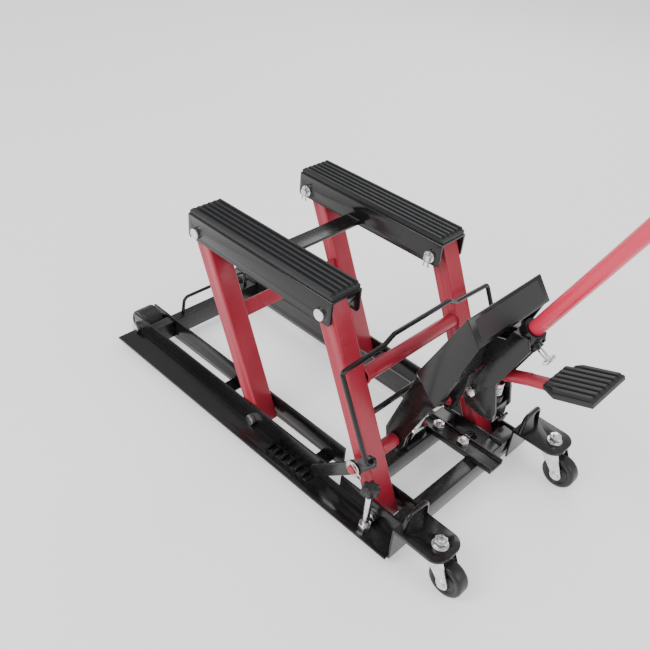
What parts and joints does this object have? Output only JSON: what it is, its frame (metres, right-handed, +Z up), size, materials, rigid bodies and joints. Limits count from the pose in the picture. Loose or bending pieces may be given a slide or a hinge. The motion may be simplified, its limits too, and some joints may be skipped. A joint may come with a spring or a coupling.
{
  "type": "motorcycle lift jack",
  "caption": "Foot-pumped parallelogram lift jack in black and red, raised, with ribbed saddles, safety lock, handle and caster wheels",
  "frame": {"origin": "on the floor under the middle of the outline seen from above", "axes": "+X to the pump, pedal and casters, +Y to the right hand side seen from the front rollers looking to the pump, +Z up"},
  "size_m": [1.042, 0.422, 0.8444],
  "materials": {
    "black_paint": "gloss",
    "red_paint": "satin gloss",
    "handle_red_paint": "gloss",
    "zinc_plate": "zinc plated",
    "chrome_rod": "polished",
    "ribbed_rubber": "matte",
    "wheel_plastic": "satin",
    "knob_plastic": "matte"
  },
  "bodies": {
    "base": {"outer_rails": "black_paint", "inner_rails": "black_paint", "front_cross_member": "black_paint", "middle_cross_member": "black_paint", "rear_cross_member": "black_paint", "rail_spacers": "black_paint", "lock_racks": "black_paint", "tie_down_rods": "black_paint", "caster_brackets": "black_paint", "caster_bolts": "zinc_plate", "frame_bolts": "zinc_plate", "frame_nuts": "zinc_plate", "ram_foot_bracket": "black_paint", "tongue_channel": "black_paint"},
    "front_legs": {"front_leg_left": "red_paint", "front_leg_right": "red_paint", "front_leg_cross_bar": "red_paint"},
    "rear_legs": {"rear_leg_left": "red_paint", "rear_leg_right": "red_paint", "rear_leg_tube": "red_paint", "leg_cross_rod": "black_paint", "leg_trunnions": "red_paint", "lock_clips": "zinc_plate"},
    "saddle": {"saddle_channel_left": "black_paint", "saddle_channel_right": "black_paint", "saddle_pad_left": "ribbed_rubber", "saddle_pad_right": "ribbed_rubber", "saddle_link_bar": "black_paint", "saddle_pins": "zinc_plate"},
    "pump_unit": {"pump_arms": "black_paint", "pump_cover": "black_paint", "pump_crosshead": "black_paint", "pump_bracket": "black_paint", "pump_block": "black_paint", "handle_socket": "black_paint", "pedal_bolt": "zinc_plate", "cylinder_pin": "black_paint", "plunger_spring": "zinc_plate"},
    "cylinder": {"lift_cylinder": "black_paint"},
    "ram_rod": {"ram": "chrome_rod"},
    "pump_plunger": {"plunger": "chrome_rod"},
    "valve": {"release_valve": "black_paint"},
    "handle": {"handle_tube": "handle_red_paint"},
    "clamp_bolt": {"thumb_bolt": "zinc_plate"},
    "pedal": {"pedal_arm": "red_paint", "pedal_pad": "ribbed_rubber"},
    "lock": {"lock_plates": "black_paint"},
    "lock_grip": {"lock_rod": "black_paint"},
    "roller_left": {"front_roller_left": "wheel_plastic"},
    "caster_left": {"caster_fork_left": "zinc_plate", "caster_axle_left": "zinc_plate"},
    "wheel_left": {"caster_wheel_left": "wheel_plastic"},
    "screw_left": {"stabiliser_screw_left": "zinc_plate"},
    "knob_left": {"stabiliser_knob_left": "knob_plastic"},
    "roller_right": {"front_roller_right": "wheel_plastic"},
    "caster_right": {"caster_fork_right": "zinc_plate", "caster_axle_right": "zinc_plate"},
    "wheel_right": {"caster_wheel_right": "wheel_plastic"},
    "screw_right": {"stabiliser_screw_right": "zinc_plate"},
    "knob_right": {"stabiliser_knob_right": "knob_plastic"}
  },
  "joints": [
    {"name": "rear_leg_hinge", "type": "hinge", "parent": "base", "child": "rear_legs", "pos_m": [0.19, 0, 0.031], "axis": [0, 1, 0], "range_deg": [-55.2, 2]},
    {"name": "front_leg_hinge", "type": "hinge", "parent": "base", "child": "front_legs", "pos_m": [-0.117, 0, 0.031], "axis": [0, 1, 0], "range_deg": [-55.3, 2.1]},
    {"name": "saddle_pivot", "type": "hinge", "parent": "rear_legs", "child": "saddle", "pos_m": [0.03359, 0, 0.36189], "axis": [0, 1, 0], "range_deg": [-2.1, 55.3]},
    {"name": "pump_unit_pivot", "type": "hinge", "parent": "rear_legs", "child": "pump_unit", "pos_m": [0.14769, 0, 0.1205], "axis": [0, 1, 0], "range_deg": [-2.1, 55.3]},
    {"name": "cylinder_hinge", "type": "hinge", "parent": "pump_unit", "child": "cylinder", "pos_m": [0.21399, 0, 0.36], "axis": [0, 1, 0], "range_deg": [-8.74, 0.41]},
    {"name": "ram_slide", "type": "slide", "parent": "cylinder", "child": "ram_rod", "axis": [0.2936, 0, 0.9559], "range_m": [-0.00354, 0.08432]},
    {"name": "lock_plate_pivot", "type": "hinge", "parent": "rear_legs", "child": "lock", "pos_m": [0.14769, 0, 0.1205], "axis": [0, 1, 0], "range_deg": [-3.55, 95.3]},
    {"name": "lock_grip_pivot", "type": "hinge", "parent": "lock", "child": "lock_grip", "pos_m": [0.17969, 0, 0.1605], "axis": [0, 1, 0], "range_deg": [-40.1, 1.55]},
    {"name": "handle_slide", "type": "slide", "parent": "pump_unit", "child": "handle", "axis": [0.4399, 0, 0.898], "range_m": [0, 0.06]},
    {"name": "clamp_bolt_turn", "type": "hinge", "parent": "pump_unit", "child": "clamp_bolt", "pos_m": [0.29299, 0, 0.392], "axis": [0.898, 0, -0.4399], "continuous": true},
    {"name": "pedal_hinge", "type": "hinge", "parent": "pump_unit", "child": "pedal", "pos_m": [0.23999, 0, 0.262], "axis": [0, 1, 0], "range_deg": [0, 18], "stiffness_Nm_per_rad": 20, "springref_deg": -20.05},
    {"name": "plunger_slide", "type": "slide", "parent": "pump_unit", "child": "pump_plunger", "axis": [0, 0, -1], "range_m": [0, 0.00909], "deforming": ["plunger_spring"]},
    {"name": "release_valve_turn", "type": "hinge", "parent": "pump_unit", "child": "valve", "pos_m": [0.28769, 0, 0.2275], "axis": [1, 0, 0], "range_deg": [0, 180]},
    {"name": "roller_left_spin", "type": "hinge", "parent": "base", "child": "roller_left", "pos_m": [-0.488, -0.14, 0.033], "axis": [0, 1, 0], "continuous": true},
    {"name": "caster_left_swivel", "type": "hinge", "parent": "base", "child": "caster_left", "pos_m": [0.326, -0.17, 0.07], "axis": [0, 0, 1], "continuous": true},
    {"name": "wheel_left_spin", "type": "hinge", "parent": "caster_left", "child": "wheel_left", "pos_m": [0.354, -0.17, 0.0315], "axis": [0, 1, 0], "continuous": true},
    {"name": "screw_left_travel", "type": "slide", "parent": "base", "child": "screw_left", "axis": [0, 0, -1], "range_m": [-0.004, 0.005]},
    {"name": "knob_left_turn", "type": "hinge", "parent": "screw_left", "child": "knob_left", "pos_m": [0.194, -0.19, 0.112], "axis": [0, 0, 1], "range_deg": [-825, 1035]},
    {"name": "roller_right_spin", "type": "hinge", "parent": "base", "child": "roller_right", "pos_m": [-0.488, 0.14, 0.033], "axis": [0, 1, 0], "continuous": true},
    {"name": "caster_right_swivel", "type": "hinge", "parent": "base", "child": "caster_right", "pos_m": [0.326, 0.17, 0.07], "axis": [0, 0, 1], "continuous": true},
    {"name": "wheel_right_spin", "type": "hinge", "parent": "caster_right", "child": "wheel_right", "pos_m": [0.354, 0.17, 0.0315], "axis": [0, 1, 0], "continuous": true},
    {"name": "screw_right_travel", "type": "slide", "parent": "base", "child": "screw_right", "axis": [0, 0, -1], "range_m": [-0.004, 0.005]},
    {"name": "knob_right_turn", "type": "hinge", "parent": "screw_right", "child": "knob_right", "pos_m": [0.194, 0.19, 0.112], "axis": [0, 0, 1], "range_deg": [-825, 1035]}
  ],
  "couplings": [
    {"joint": "front_leg_hinge", "follows": "rear_leg_hinge", "ratio": 1},
    {"joint": "saddle_pivot", "follows": "rear_leg_hinge", "ratio": -1},
    {"joint": "pump_unit_pivot", "follows": "rear_leg_hinge", "ratio": -1},
    {"joint": "cylinder_hinge", "follows": "rear_leg_hinge", "ratio": 0.1565},
    {"joint": "ram_slide", "follows": "rear_leg_hinge", "m_per_rad": -0.087},
    {"joint": "lock_plate_pivot", "follows": "rear_leg_hinge", "ratio": -1.7246},
    {"joint": "lock_grip_pivot", "follows": "rear_leg_hinge", "ratio": 0.7246},
    {"joint": "plunger_slide", "follows": "pedal_hinge", "m_per_rad": 0.0283},
    {"joint": "knob_left_turn", "follows": "screw_left_travel", "rad_per_m": 3590.4},
    {"joint": "knob_right_turn", "follows": "screw_right_travel", "rad_per_m": 3590.4}
  ]
}
